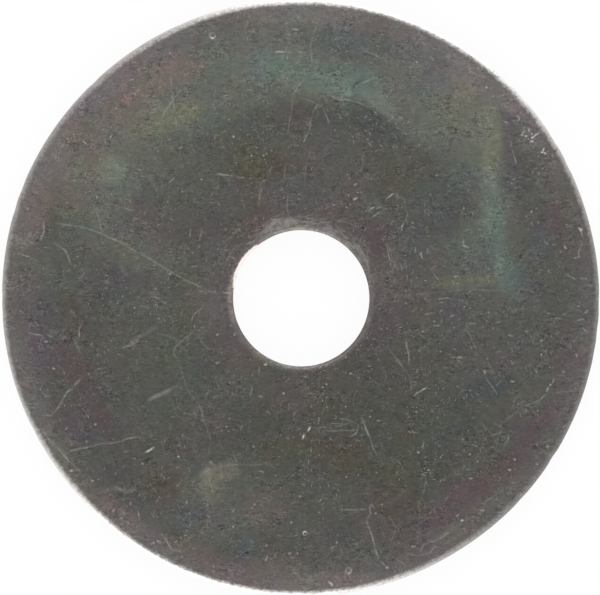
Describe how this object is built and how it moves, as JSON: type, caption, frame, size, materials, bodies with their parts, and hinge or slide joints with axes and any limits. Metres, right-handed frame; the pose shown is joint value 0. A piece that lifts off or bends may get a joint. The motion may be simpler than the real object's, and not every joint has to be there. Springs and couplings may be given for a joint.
{
  "type": "washer",
  "caption": "Large-diameter flat washer punched from zinc-plated sheet steel, to spread a bolt's load over a thin or soft panel.",
  "frame": {"origin": "centre of the bore, on the underside that the washer lies on", "axes": "+Z along the bore's axis, up out of the face with the rolled edges; +X to the right and +Y up in the reference view of that face"},
  "size_m": [0.0381, 0.038, 0.0016],
  "materials": {
    "zinc_plate": "zinc plate with a dull olive-grey, faintly iridescent passivation, finely scratched and rubbed bright along its edges"
  },
  "bodies": {
    "root": {"washer": "zinc_plate"}
  },
  "joints": []
}
